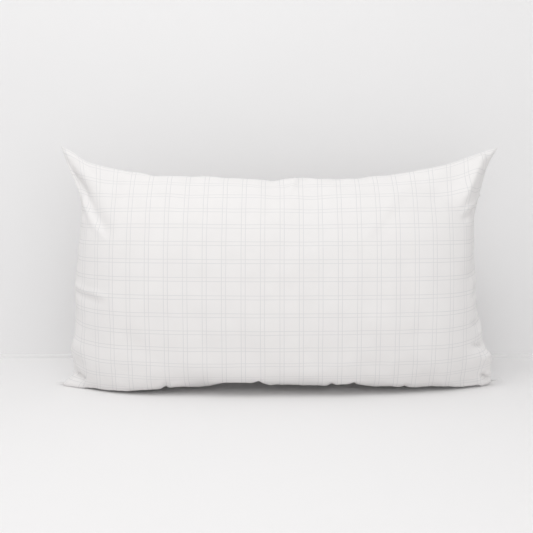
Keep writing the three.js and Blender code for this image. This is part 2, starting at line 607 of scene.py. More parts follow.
def calmed(change, passes):
    """A grid of moves, smoothed both ways by the 1-2-1 mean. The seam's points are only
    smoothed along the seam, so that both panels keep the same seam."""
    for _ in range(passes):
        level, upright = along_edge(change, 1), along_edge(change, 0)
        change = along_edge(along_edge(change, 0), 1)
        change[[0, -1]] = level[[0, -1]]
        change[:, [0, -1]] = upright[:, [0, -1]]
    return change


# ---------------------------------------------------------------- folds and creases

CALM_PASSES = 3

# How the filling hangs in the casing: each side seam is drawn in by a dent and pushed
# out below, as (height, half height, move outwards) in metres
LEFT_SWAY = (
    (0.372, 0.050, -0.013),
    (0.190, 0.085, 0.012),
    (0.085, 0.036, 0.014),
    (0.006, 0.016, 0.018),
)
RIGHT_SWAY = (
    (0.330, 0.075, -0.014),
    (0.120, 0.034, 0.009),
    (0.062, 0.030, 0.025),
    (0.024, 0.024, 0.010),
)
SWAY_REACH = 0.080

# The front of the foot hangs clear of the floor, most of all near the middle: how much,
# where, up to what height, how far out from the base seam and how far along
FOOT_LIFT = 0.002
FOOT_ARCH = 0.0065
FOOT_ARCH_HALF = 0.16
FOOT_ARCH_CENTRE = 0.045
FOOT_LIFT_TOP = 0.12
FOOT_LIFT_OUT = 0.045
FOOT_CORNER = 0.36
FOOT_CORNER_EASE = 0.05

# Where the foot stands forward, as (across from the middle, half length, how far)
FOOT_FORWARD = ((-0.30, 0.10, 0.024), (0.06, 0.18, 0.014))

# The lower ears lie up and back a little: radius, move back and move up
LOWER_EAR_REACH = 0.055
LOWER_EAR_BACK = 0.025
LOWER_EAR_UP = 0.001

# The upper ears: side, how far in from the tip they move most, reach, move back and up
UPPER_EARS = ((-1, 0.026, 0.024, 0.002, 0.0060), (1, 0.046, 0.046, 0.018, 0.003))


def pricked(sizes, face, u, v):
    """Moves the upper ears: each by the bell exp(-(d / reach)^2) of the distance d on the
    flat cut from a point on the top seam in from the tip."""
    moved = face.copy()
    for side, inset, reach, back, up in UPPER_EARS:
        d = np.hypot(sizes.cut_width / 2 - inset - side * u, sizes.cut_height - v)
        near = np.exp(-((d / reach) ** 2))
        moved[..., 1] += back * near
        moved[..., 2] += up * near
    return moved


# The outer edge of the upper right ear turns back: by how much at the seam, how far in
# from it, and where on the side seam (middle, half length)
EAR_TURN_BACK = 0.024
EAR_TURN_REACH = 0.032
EAR_TURN_PLACE = (0.455, 0.050)


def turned(sizes, face, u, v):
    """Turns the upper right ear's edge back by a bell of the distance from the side seam
    times a bell of the place along it."""
    middle, half = EAR_TURN_PLACE
    inwards = (sizes.cut_width / 2 - u) / EAR_TURN_REACH
    moved = face.copy()
    moved[..., 1] += EAR_TURN_BACK * np.exp(-(inwards**2) - ((v - middle) / half) ** 2)
    return moved


def swayed(sizes, face, u):
    """Moves a panel's sides in and out: a sum of bells exp(-((z - height) / half)^2) of
    the height, fading to nothing a hand's width in from the side seam."""
    near = smooth_step((np.abs(u) - sizes.cut_width / 2 + SWAY_REACH) / SWAY_REACH)
    moved = face.copy()
    for side, bells in ((-1, LEFT_SWAY), (1, RIGHT_SWAY)):
        total = sum(out * np.exp(-(((face[..., 2] - z) / half) ** 2)) for z, half, out in bells)
        moved[..., 0] += side * near * total * (np.sign(u) == side)
    return moved


def lifted(sizes, face, u, v):
    """Lifts the front of the foot, brings parts of it forward and lays the lower ears back.

    The foot rises by lift + arch exp(-((x - centre) / half)^2) and comes forward by bells
    of the same kind, all fading out towards the base seam and up the panel. An ear moves
    by its full amount at its tip, by the bell of the distance from the tip on the flat cut.
    """
    x, y, z = face[..., 0], face[..., 1], face[..., 2]
    rise = FOOT_LIFT + FOOT_ARCH * np.exp(-(((x - FOOT_ARCH_CENTRE) / FOOT_ARCH_HALF) ** 2))
    rise = rise * (1 - smooth_step((np.abs(x) - FOOT_CORNER) / FOOT_CORNER_EASE))
    low = (1 - smooth_step(z / FOOT_LIFT_TOP)) * smooth_step((SEAM_Y - y) / FOOT_LIFT_OUT)
    rise = rise * low
    forward = low * sum(far * np.exp(-(((x - at) / half) ** 2)) for at, half, far in FOOT_FORWARD)
    tip = np.exp(-((np.hypot(sizes.cut_width / 2 - np.abs(u), v) / LOWER_EAR_REACH) ** 2))
    back = LOWER_EAR_BACK * tip - forward
    moves = np.stack([np.zeros(u.shape), back, rise + LOWER_EAR_UP * tip], -1)
    return face + moves


# Each crease: from and to on the flat cut, as (across from the middle, up from the base
# seam), then its half width and how far it stands out of the panel, all in metres.
# A power below 2 makes a sharper fold.
FRONT_CREASES = (
    # the upper left ear: a roll from its tip, a broad valley and a ridge under it
    ((-0.449, 0.503), (-0.372, 0.448), 0.018, 0.006, 2.0),
    ((-0.446, 0.464), (-0.330, 0.335), 0.021, -0.0075, 2.0),
    ((-0.436, 0.420), (-0.338, 0.336), 0.009, 0.0055, 1.6),
    # the upper right ear: a ridge down from its tip, and two wrinkles under it
    ((0.430, 0.504), (0.364, 0.400), 0.023, 0.022, 1.3),
    ((0.446, 0.424), (0.372, 0.396), 0.006, 0.0055, 1.4),
    ((0.446, 0.408), (0.368, 0.380), 0.008, -0.0045, 1.8),
    # the left side: one crease that runs in from the seam
    ((-0.446, 0.252), (-0.330, 0.240), 0.006, 0.0036, 1.4),
    ((-0.446, 0.240), (-0.340, 0.228), 0.008, -0.0020, 2.0),
    # the closing seam's tucks, and the folds of the ear below them
    ((0.455, 0.278), (0.392, 0.276), 0.007, -0.0035, 1.5),
    ((0.455, 0.238), (0.400, 0.232), 0.006, -0.0030, 1.5),
    ((0.455, 0.176), (0.396, 0.183), 0.007, -0.0045, 1.5),
    ((0.455, 0.126), (0.402, 0.142), 0.007, -0.0080, 1.4),
    ((0.455, 0.100), (0.420, 0.108), 0.009, 0.0050, 2.0),
    ((0.452, 0.046), (0.428, 0.064), 0.0035, -0.0110, 1.4),
    ((0.455, 0.020), (0.420, 0.028), 0.012, 0.0060, 2.0),
    # the lower left ear's tuck
    ((-0.455, 0.064), (-0.408, 0.058), 0.007, -0.0110, 1.5),
    ((-0.455, 0.030), (-0.400, 0.026), 0.014, 0.0060, 2.0),
    # the top edge's bump and a faint press line
    ((0.034, 0.506), (0.022, 0.440), 0.007, 0.0032, 1.8),
    ((0.048, 0.506), (0.040, 0.462), 0.008, -0.0026, 2.0),
    ((0.244, 0.440), (0.164, 0.342), 0.014, 0.0018, 2.0),
    ((0.246, 0.424), (0.176, 0.334), 0.012, -0.0014, 2.0),
    # short gathers where the foot rests
    ((-0.233, 0.010), (-0.226, 0.084), 0.006, -0.0055, 1.5),
    ((-0.044, 0.010), (-0.040, 0.078), 0.006, -0.0060, 1.5),
    ((-0.020, 0.010), (-0.016, 0.060), 0.010, 0.0030, 2.0),
    ((0.108, 0.010), (0.104, 0.074), 0.006, -0.0055, 1.5),
    ((0.148, 0.010), (0.152, 0.070), 0.006, -0.0055, 1.5),
    ((0.260, 0.010), (0.254, 0.064), 0.006, -0.0040, 1.5),
)
BACK_CREASES = (
    ((-0.449, 0.503), (-0.380, 0.440), 0.018, 0.009, 2.0),
    ((0.449, 0.503), (0.376, 0.446), 0.018, 0.010, 2.0),
    ((-0.452, 0.455), (-0.378, 0.396), 0.012, -0.006, 1.8),
    ((0.452, 0.462), (0.380, 0.388), 0.012, -0.007, 1.8),
    ((0.455, 0.300), (0.402, 0.292), 0.007, -0.0040, 1.6),
    ((0.455, 0.120), (0.396, 0.132), 0.008, -0.0055, 1.6),
    ((-0.455, 0.270), (-0.392, 0.262), 0.008, -0.0040, 1.6),
    ((-0.455, 0.110), (-0.398, 0.130), 0.008, -0.0050, 1.6),
    ((-0.150, 0.504), (-0.142, 0.450), 0.008, -0.0030, 1.8),
    ((0.200, 0.504), (0.190, 0.446), 0.008, -0.0040, 1.8),
    ((-0.120, 0.010), (-0.112, 0.070), 0.007, -0.0050, 1.6),
    ((0.210, 0.010), (0.200, 0.068), 0.007, -0.0050, 1.6),
)

# The share of a crease's length over which it fades, and the band beside the seams
# where creases and gathers fade to nothing
CREASE_EASE = 0.35
CREASE_SEAM = 0.012

# The seams draw the cloth into small gathers: depth, spacing along the seam, and how far
# they run in from it
CLOSING_GATHERS = (0.0026, 0.023, 0.026)
LEFT_GATHERS = (0.0011, 0.034, 0.022)
TOP_GATHERS = (0.0010, 0.041, 0.024)
BASE_GATHERS = (0.0016, 0.029, 0.026)
GATHER_DRIFT = 2.7


def gathers(along, inwards, depth, spacing, reach):
    """Small waves along a seam: depth exp(-inwards / reach) times a sine, whose size
    wanders as another sine, 2.7 times as long."""
    turns = 2 * math.pi * along / spacing
    wave = np.sin(turns) * np.sin(turns / GATHER_DRIFT + 1)
    return depth * wave * np.exp(-inwards / reach)


def seam_gathers(sizes, u, v):
    """The gathers of all four seams, added up over the flat cut."""
    half, height = sizes.cut_width / 2, sizes.cut_height
    return (
        gathers(v, half - u, *CLOSING_GATHERS)
        + gathers(v, half + u, *LEFT_GATHERS)
        + gathers(u, height - v, *TOP_GATHERS)
        + gathers(u, v, *BASE_GATHERS)
    )


def crease_heights(creases, u, v):
    """How far each point of the flat cut stands out.

    A crease adds its height times exp(-(d / half width)^power), where d is the distance
    from its line, and fades to nothing over the last third of the line at its inner end.
    """
    total = np.zeros(u.shape)
    for start, end, half_width, height, power in creases:
        run = np.subtract(end, start)
        along = ((u - start[0]) * run[0] + (v - start[1]) * run[1]) / (run @ run)
        near = along.clip(0, 1)
        d = np.hypot(u - start[0] - near * run[0], v - start[1] - near * run[1])
        fade = smooth_step((1 - near) / CREASE_EASE)
        total += height * fade * np.exp(-((d / half_width) ** power))
    return total


# ---------------------------------------------------------------- materials


def socket(tree, name, kind="NodeSocketFloat", way="INPUT", default=None):
    """A named input or output of a node group."""
    made = tree.interface.new_socket(name=name, in_out=way, socket_type=kind)
    if default is not None:
        made.default_value = default
    return made


def group_tree(name):
    """An empty node group with its input and output nodes."""
    tree = bpy.data.node_groups.new(name, "ShaderNodeTree")
    return tree, tree.nodes.new("NodeGroupInput"), tree.nodes.new("NodeGroupOutput")


def math_node(tree, operation, *values, clamp=False):
    """A Math node whose inputs are numbers or other nodes' sockets."""
    node = tree.nodes.new("ShaderNodeMath")
    node.operation = operation
    node.use_clamp = clamp
    for place, value in zip(node.inputs, values):
        if isinstance(value, bpy.types.NodeSocket):
            tree.links.new(value, place)
        else:
            place.default_value = value
    return node.outputs[0]


# How high a yarn stands where it goes under the other set, as a share of its full height
YARN_UNDER = 0.45


def weave_group():
    """Plain weave: two sets of round yarns, each over and under the other in turn.

    Warp is |sin(pi x / yarn)| and weft |sin(pi y / yarn)|. Where floor(x / yarn) plus
    floor(y / yarn) is even the warp is on top, and elsewhere the weft is.
    """
    tree, given, result = group_tree("Plain weave")
    socket(tree, "Place", "NodeSocketVector")
    socket(tree, "Yarn", default=0.0006)
    socket(tree, "Height", way="OUTPUT")
    axes = tree.nodes.new("ShaderNodeSeparateXYZ")
    tree.links.new(given.outputs["Place"], axes.inputs[0])
    counts = [math_node(tree, "DIVIDE", axes.outputs[k], given.outputs["Yarn"]) for k in (0, 1)]
    waves = [math_node(tree, "SINE", math_node(tree, "MULTIPLY", c, math.pi)) for c in counts]
    rounds = [math_node(tree, "ABSOLUTE", wave) for wave in waves]
    floors = [math_node(tree, "FLOOR", c) for c in counts]
    odd = math_node(tree, "MODULO", math_node(tree, "ADD", *floors), 2)
    odd = math_node(tree, "ABSOLUTE", odd)
    even = math_node(tree, "SUBTRACT", 1, odd)
    heights = []
    for around, on_top in zip(rounds, (even, odd)):
        rise = math_node(tree, "MULTIPLY", on_top, 1 - YARN_UNDER)
        rise = math_node(tree, "ADD", YARN_UNDER, rise)
        heights.append(math_node(tree, "MULTIPLY", around, rise))
    tree.links.new(math_node(tree, "MAXIMUM", *heights), result.inputs["Height"])
    return tree


def line_pair_group():
    """Mask of repeated pairs of fine lines across one coordinate.

    The coordinate is folded to its distance from the nearest pair's middle. The mask is 1
    up to half of Width from a line's middle, and falls to 0 at the whole of Width.
    """
    tree, given, result = group_tree("Line pairs")
    socket(tree, "Place", default=0)
    socket(tree, "Start", default=0)
    socket(tree, "Repeat", default=0.038)
    socket(tree, "Gap", default=0.008)
    socket(tree, "Width", default=0.001)
    socket(tree, "Line", way="OUTPUT")
    ins = given.outputs
    shifted = math_node(tree, "SUBTRACT", ins["Place"], ins["Start"])
    folded = math_node(tree, "PINGPONG", shifted, math_node(tree, "MULTIPLY", ins["Repeat"], 0.5))
    off = math_node(tree, "SUBTRACT", folded, math_node(tree, "MULTIPLY", ins["Gap"], 0.5))
    share = math_node(tree, "DIVIDE", math_node(tree, "ABSOLUTE", off), ins["Width"])
    line = math_node(tree, "SUBTRACT", 1.0, share, clamp=True)
    line = math_node(tree, "MULTIPLY", line, 2.0, clamp=True)
    tree.links.new(line, result.inputs["Line"])
    return tree


def mottle_group():
    """Slow and fine unevenness, round 0.5: a mix of two noises with several octaves."""
    tree, given, result = group_tree("Mottle")
    socket(tree, "Place", "NodeSocketVector")
    socket(tree, "Patches", default=18)
    socket(tree, "Grain", default=900)
    socket(tree, "Grain share", default=0.3)
    socket(tree, "Amount", way="OUTPUT")
    noises = []
    for name, detail in (("Patches", 3), ("Grain", 2)):
        noise = tree.nodes.new("ShaderNodeTexNoise")
        noise.inputs["Detail"].default_value = detail
        tree.links.new(given.outputs["Place"], noise.inputs["Vector"])
        tree.links.new(given.outputs[name], noise.inputs["Scale"])
        noises.append(noise.outputs[0])
    mix = tree.nodes.new("ShaderNodeMix")
    tree.links.new(given.outputs["Grain share"], mix.inputs["Factor"])
    tree.links.new(noises[0], mix.inputs["A"])
    tree.links.new(noises[1], mix.inputs["B"])
    tree.links.new(mix.outputs["Result"], result.inputs["Amount"])
    return tree


GROUPS = {"Plain weave": weave_group, "Line pairs": line_pair_group, "Mottle": mottle_group}


def place_group(tree, name, **values):
    """A node of a named group, made once, with its inputs set or linked to sockets."""
    node = tree.nodes.new("ShaderNodeGroup")
    node.node_tree = bpy.data.node_groups.get(name) or GROUPS[name]()
    for key, value in values.items():
        place = node.inputs[key.replace("_", " ")]
        if isinstance(value, bpy.types.NodeSocket):
            tree.links.new(value, place)
        else:
            place.default_value = value
    return node


def mixed_colour(tree, factor, low, high):
    """A colour between two, each a colour or a socket."""
    mix = tree.nodes.new("ShaderNodeMix")
    mix.data_type = "RGBA"
    tree.links.new(factor, mix.inputs["Factor"])
    colours = [s for s in mix.inputs if s.type == "RGBA"]
    for place, value in zip(colours, (low, high)):
        if isinstance(value, bpy.types.NodeSocket):
            tree.links.new(value, place)
        else:
            place.default_value = (*value, 1)
    return next(s for s in mix.outputs if s.type == "RGBA")


def bump(tree, height, distance, strength, under=None):
    """The normal of a relief as high as distance, in metres, where its height is 1."""
    node = tree.nodes.new("ShaderNodeBump")
    node.inputs["Distance"].default_value = distance
    node.inputs["Strength"].default_value = strength
    tree.links.new(height, node.inputs["Height"])
    if under is not None:
        tree.links.new(under, node.inputs["Normal"])
    return node.outputs["Normal"]


def new_material(name, colour, roughness):
    """A material, its node tree and its Principled shader."""
    material = bpy.data.materials.new(name)
    material.use_nodes = True
    material.diffuse_color = (*colour, 1)
    shader = material.node_tree.nodes["Principled BSDF"]
    shader.inputs["Base Color"].default_value = (*colour, 1)
    shader.inputs["Roughness"].default_value = roughness
    return material, material.node_tree, shader


def cut_place(tree):
    """The place on the flat cut, from the piece's own map, in metres."""
    node = tree.nodes.new("ShaderNodeUVMap")
    node.uv_map = "cut"
    return node.outputs["UV"]


def object_place(tree):
    """Object coordinates."""
    return tree.nodes.new("ShaderNodeTexCoord").outputs["Object"]


def scaled(colour, share):
    """A colour with each of its parts multiplied by this share."""
    return [share * c for c in colour]


# The ticking's ground runs between these shares of its colour, and its lines have these
# shares of theirs. Wear multiplies the lines by a least share plus what the mottle adds,
# and the roughness is set the same way.
GROUND_SHARES = (0.955, 1.03)
UPRIGHT_LINES = 0.95
LEVEL_LINES = 0.85
LINE_WEAR = (0.7, 0.5)
TICKING_ROUGHNESS = (0.76, 0.14)

# Heights of the ticking's weave and of its slow unevenness, in metres
WEAVE_RELIEF = 0.00006
MOTTLE_RELIEF = 0.0012


def ticking_material(looks):
    """White plain-woven ticking with a fine grey double-line windowpane check."""
    material, tree, shader = new_material("ticking_cloth", looks.ticking_colour, roughness=0.82)
    shader.inputs["Specular IOR Level"].default_value = 0.3
    shader.inputs["Sheen Weight"].default_value = 0.12
    shader.inputs["Sheen Roughness"].default_value = 0.6
    place = cut_place(tree)
    axes = tree.nodes.new("ShaderNodeSeparateXYZ")
    tree.links.new(place, axes.inputs[0])
    upright = place_group(
        tree,
        "Line pairs",
        Place=axes.outputs[0],
        Start=looks.check_start_across,
        Repeat=looks.check_across,
        Gap=looks.pair_across,
        Width=looks.line_width,
    )
    level = place_group(
        tree,
        "Line pairs",
        Place=axes.outputs[1],
        Start=looks.check_start_up,
        Repeat=looks.check_up,
        Gap=looks.pair_up,
        Width=looks.line_width,
    )
    mottle = place_group(tree, "Mottle", Place=place, Patches=26, Grain=1400)
    uneven = mottle.outputs["Amount"]
    low, high = (scaled(looks.ticking_colour, share) for share in GROUND_SHARES)
    colour = mixed_colour(tree, uneven, low, high)
    lines = math_node(
        tree,
        "MAXIMUM",
        math_node(tree, "MULTIPLY", upright.outputs["Line"], UPRIGHT_LINES),
        math_node(tree, "MULTIPLY", level.outputs["Line"], LEVEL_LINES),
    )
    least, more = LINE_WEAR
    wear = math_node(tree, "ADD", least, math_node(tree, "MULTIPLY", uneven, more))
    lines = math_node(tree, "MULTIPLY", lines, wear, clamp=True)
    colour = mixed_colour(tree, lines, colour, looks.check_colour)
    tree.links.new(colour, shader.inputs["Base Color"])
    weave = place_group(tree, "Plain weave", Place=place, Yarn=looks.yarn)
    normal = bump(tree, weave.outputs["Height"], WEAVE_RELIEF, strength=0.5)
    normal = bump(tree, uneven, MOTTLE_RELIEF, strength=0.35, under=normal)
    tree.links.new(normal, shader.inputs["Normal"])
    least, more = TICKING_ROUGHNESS
    rough = math_node(tree, "ADD", least, math_node(tree, "MULTIPLY", uneven, more))
    tree.links.new(rough, shader.inputs["Roughness"])
    return material


def thread_material(looks):
    """White spun polyester thread, with its twist as a slanting ripple."""
    material, tree, shader = new_material("sewing_thread", looks.thread_colour, roughness=0.6)
    shader.inputs["Sheen Weight"].default_value = 0.2
    place = object_place(tree)
    ply = tree.nodes.new("ShaderNodeTexWave")
    ply.bands_direction = "DIAGONAL"
    ply.inputs["Scale"].default_value = 700
    ply.inputs["Distortion"].default_value = 0.5
    tree.links.new(place, ply.inputs["Vector"])
    mottle = place_group(tree, "Mottle", Place=place, Patches=120, Grain=3000)
    shade = scaled(looks.thread_colour, 0.82)
    colour = mixed_colour(tree, mottle.outputs["Amount"], shade, looks.thread_colour)
    tree.links.new(colour, shader.inputs["Base Color"])
    normal = bump(tree, ply.outputs["Fac"], distance=0.0001, strength=0.6)
    tree.links.new(normal, shader.inputs["Normal"])
    return material


def fibre_material(looks):
    """Loose white hollow polyester fibre: soft clumps with a fine crimp."""
    material, tree, shader = new_material("polyester_fibre", looks.fibre_colour, roughness=0.95)
    shader.inputs["Sheen Weight"].default_value = 0.4
    place = object_place(tree)
    mottle = place_group(tree, "Mottle", Place=place, Patches=38, Grain=600, Grain_share=0.45)
    amount = mottle.outputs["Amount"]
    colour = mixed_colour(tree, amount, scaled(looks.fibre_colour, 0.88), looks.fibre_colour)
    tree.links.new(colour, shader.inputs["Base Color"])
    tree.links.new(bump(tree, amount, distance=0.006, strength=0.8), shader.inputs["Normal"])
    return material


def label_material(looks):
    """Blank white satin tape: a fine weave with a soft gloss."""
    material, tree, shader = new_material("satin_tape", looks.label_colour, roughness=0.38)
    shader.inputs["Sheen Weight"].default_value = 0.15
    place = cut_place(tree)
    weave = place_group(tree, "Plain weave", Place=place, Yarn=0.0004)
    mottle = place_group(tree, "Mottle", Place=place, Patches=60, Grain=1500)
    shade = scaled(looks.label_colour, 0.95)
    colour = mixed_colour(tree, mottle.outputs["Amount"], shade, looks.label_colour)
    tree.links.new(colour, shader.inputs["Base Color"])
    normal = bump(tree, weave.outputs["Height"], distance=0.00004, strength=0.4)
    tree.links.new(normal, shader.inputs["Normal"])
    return material


def studio_material(name, colour, one_sided=False):
    """A matt painted surface with the faintest mottle. A one-sided one is clear from
    behind, so that it hides nothing when the object is seen from there."""
    material, tree, shader = new_material(name, colour, roughness=0.9)
    shader.inputs["Specular IOR Level"].default_value = 0.15
    mottle = place_group(tree, "Mottle", Place=object_place(tree), Patches=3, Grain=200)
    painted = mixed_colour(tree, mottle.outputs["Amount"], scaled(colour, 0.985), colour)
    tree.links.new(painted, shader.inputs["Base Color"])
    if one_sided:
        back = tree.nodes.new("ShaderNodeNewGeometry").outputs["Backfacing"]
        clear = tree.nodes.new("ShaderNodeBsdfTransparent")
        mix = tree.nodes.new("ShaderNodeMixShader")
        tree.links.new(back, mix.inputs[0])
        tree.links.new(shader.outputs[0], mix.inputs[1])
        tree.links.new(clear.outputs[0], mix.inputs[2])
        tree.links.new(mix.outputs[0], tree.nodes["Material Output"].inputs["Surface"])
    return material


# ---------------------------------------------------------------- operators

# How far each panel stands off the seam's own plane, over a band beside the seam
SEAM_EDGE = 0.0005
SEAM_EDGE_BAND = 0.008

# The least height of any cloth or thread above the floor
FLOOR_GAP = 0.0003

# How far the settled casing is let down into the floor, where the clip flattens it
SETTLE_SINK = 0.003


def finish_piece(piece, node):
    """Puts a piece on the frame's body in place of its CAD node."""
    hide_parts(node)
    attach(piece, "root")


class PILLOW_OT_casing(bpy.types.Operator):
    """Settle the ticking casing and build its front and back panels"""

    bl_idname = "pillow.casing"
    bl_label = "Ticking casing"

    def execute(self, context):
        sizes, looks = context.scene.pillow_sizes, context.scene.pillow_looks
        p, q = panel_parameters(sizes)
        start, quads, numbers, behind, inside = casing_mesh(sizes, p, q)
        points = start
        points = settled(sizes, start, quads, ease_weights(sizes, p, q, inside))
        material = ticking_material(looks)
        fine_p, fine_q = refined(p[..., None])[..., 0], refined(q[..., None])[..., 0]
        u, v = flat_places(sizes, fine_p, fine_q)
        to_seam = np.minimum(sizes.cut_width / 2 - np.abs(u), np.minimum(v, sizes.cut_height - v))
        apart = SEAM_EDGE * (1 - smooth_step(to_seam / SEAM_EDGE_BAND))
        held = smooth_step(to_seam / CREASE_SEAM)
        grids = {}
        panels = ((FRONT, numbers, FRONT_CREASES), (BACK, behind, BACK_CREASES))
        for side, grid, creases in panels:
            shape = filled_panel(sizes, p, q, side)
            face = refined(shape + calmed(points[grid] - shape, CALM_PASSES))
            face = turned(sizes, pricked(sizes, face, u, v), u, v)
            face = lifted(sizes, swayed(sizes, face, u), u, v)
            out = cross_normals(face) * -side
            height = crease_heights(creases, u, v) + seam_gathers(sizes, u, v)
            face = face + (held * height)[..., None] * out
            grids[side] = face + side * apart[..., None] * plane_normal(sizes)
        lowest = min(face[..., 2].min() for face in grids.values())
        uv = np.stack([u, v], -1)
        names = {FRONT: ("front_ticking", "front_panel"), BACK: ("back_ticking", "back_panel")}
        for side, (name, node) in names.items():
            face = grids[side]
            face[..., 2] = (face[..., 2] - lowest - SETTLE_SINK).clip(FLOOR_GAP)
            panel = cloth_shell(name, face, uv, sizes.ticking, material, flipped=side == BACK)
            finish_piece(panel, node)
        return {"FINISHED"}


# The fill: how many cells in from the seams it starts, its gap to each panel, and the
# band over which its edge is rounded
FILL_EDGE = 3
FILL_GAP = 0.003
FILL_ROUND = 0.03


class PILLOW_OT_fibre_fill(bpy.types.Operator):
    """Fill the casing with one loose body of polyester fibre"""

    bl_idname = "pillow.fibre_fill"
    bl_label = "Fibre filling"

    def execute(self, context):
        sizes = context.scene.pillow_sizes
        inside = slice(FILL_EDGE, -FILL_EDGE)
        front = outer_face(sizes, "front_ticking")[::2, ::2][inside, inside]
        back = outer_face(sizes, "back_ticking")[::2, ::2][inside, inside]
        middle, half = (front + back) / 2, (back - front) / 2
        reach = np.linalg.norm(half, axis=-1)
        rows, columns = reach.shape
        j, i = np.mgrid[0:rows, 0:columns]
        cells_in = np.minimum(np.minimum(j, rows - 1 - j), np.minimum(i, columns - 1 - i))
        rounded = np.sqrt(smooth_step(cells_in * sizes.cell / FILL_ROUND))
        share = ((reach - FILL_GAP) / reach.clip(1e-6)).clip(0) * rounded
        half = half * share[..., None]
        numbers = numbered(reach.shape)
        behind = numbers.copy()
        behind[1:-1, 1:-1] = numbered((rows - 2, columns - 2), numbers.size)
        back_points = (middle + half)[1:-1, 1:-1].reshape(-1, 3)
        points = np.concatenate([(middle - half).reshape(-1, 3), back_points])
        faces = np.concatenate([grid_faces(numbers), grid_faces(behind, True)])
        fill = new_piece("fibre_body", points, faces, fibre_material(context.scene.pillow_looks))
        finish_piece(fill, "fibre_fill")
        return {"FINISHED"}


# The seams' thread: sides of its tube, how far in from the seam it lies, the step along
# it, how far it weaves from side to side, and its ends' radius as a share of the rest
THREAD_SIDES = 6
THREAD_INSET = 0.0012
THREAD_STEP = 0.0011
THREAD_SWAY = 0.0002
THREAD_END = 0.3

# A topstitch: how far in from the seam it lies, its length as a share of a stitch, rings
# along it, steps that a stitch is measured in, its ends' radius as a share, how high it
# arches and how deep its ends start, both in radii of the thread
TOPSTITCH_INSET = 0.0035
TOPSTITCH_SHARE = 0.68
TOPSTITCH_RINGS = 7
TOPSTITCH_STEPS = 12
TOPSTITCH_END = 0.35
TOPSTITCH_ARCH = 2
TOPSTITCH_DEPTH = 0.9

# The thread's tail: rings along it, how far it reaches out, forward and up, how far its
# tip drops, and its ends' radius as a share
TAIL_RINGS = 12
TAIL_OUT = 0.009
TAIL_FORWARD = 0.003
TAIL_ARCH = 0.004
TAIL_DROP = 0.0015
TAIL_END = 0.4


def resampled(path, step):
    """Points evenly along a path, about this far apart."""
    length = running_length(*path.T)
    count = max(2, round(length[-1] / step))
    along = np.linspace(0, length[-1], count + 1)
    return np.stack([np.interp(along, length, c) for c in path.T], -1)


def tubes(paths, radii, up):
    """Round tubes, open at their ends, along several paths of equally many points.

    Each ring's directions are the path's cross product with up, and that one's with the
    path. radii has one radius for each ring. Returns the points and the walls' quads.
    """
    count, rings = paths.shape[:2]
    ahead = np.gradient(paths, axis=1)
    ahead /= np.linalg.norm(ahead, axis=-1, keepdims=True).clip(1e-12)
    aside = np.cross(ahead, np.broadcast_to(up, paths.shape))
    aside /= np.linalg.norm(aside, axis=-1, keepdims=True).clip(1e-12)
    over = np.cross(aside, ahead)
    angle = np.linspace(0, 2 * math.pi, THREAD_SIDES, endpoint=False)
    radius = radii[None, :, None, None]
    ring = np.cos(angle)[:, None] * aside[:, :, None] + np.sin(angle)[:, None] * over[:, :, None]
    points = (paths[:, :, None] + radius * ring).reshape(-1, 3)
    numbers = np.arange(count * rings * THREAD_SIDES).reshape(count, rings, THREAD_SIDES)
    onward = np.roll(numbers, -1, axis=2)
    walls = np.stack([numbers[:, :-1], onward[:, :-1], onward[:, 1:], numbers[:, 1:]], -1)
    return points, walls.reshape(-1, 4)


def end_caps(count, rings):
    """The polygons that close the two ends of each tube."""
    numbers = np.arange(count * rings * THREAD_SIDES).reshape(count, rings, THREAD_SIDES)
    return np.concatenate([numbers[:, 0, ::-1], numbers[:, -1]])


def tube_piece(name, sets, material):
    """One piece from several sets of tubes, each given as paths, radii and up."""
    points, faces, first = [], [], 0
    for paths, radii, up in sets:
        at, walls = tubes(paths, radii, up)
        caps = end_caps(*paths.shape[:2])
        faces += (walls + first).tolist() + (caps + first).tolist()
        points.append(at)
        first += len(at)
    return new_piece(name, np.concatenate(points), faces, material)


def seam_path(front, back, edge):
    """The seam's line between the two panels: the mean of their edges' points, a little
    way in from the edge towards the next row of the grid."""
    cuts = {
        "top": (slice(-1, None), slice(-2, -1), 0),
        "bottom": (slice(0, 1), slice(1, 2), 0),
        "left": (slice(0, 1), slice(1, 2), 1),
        "closing": (slice(-1, None), slice(-2, -1), 1),
    }
    at, next_in, axis = cuts[edge]
    middle = (front + back) / 2
    middle = middle if axis == 0 else middle.transpose(1, 0, 2)
    line, inner = middle[at][0], middle[next_in][0]
    towards = inner - line
    towards /= np.linalg.norm(towards, axis=-1, keepdims=True).clip(1e-9)
    return line + THREAD_INSET * towards


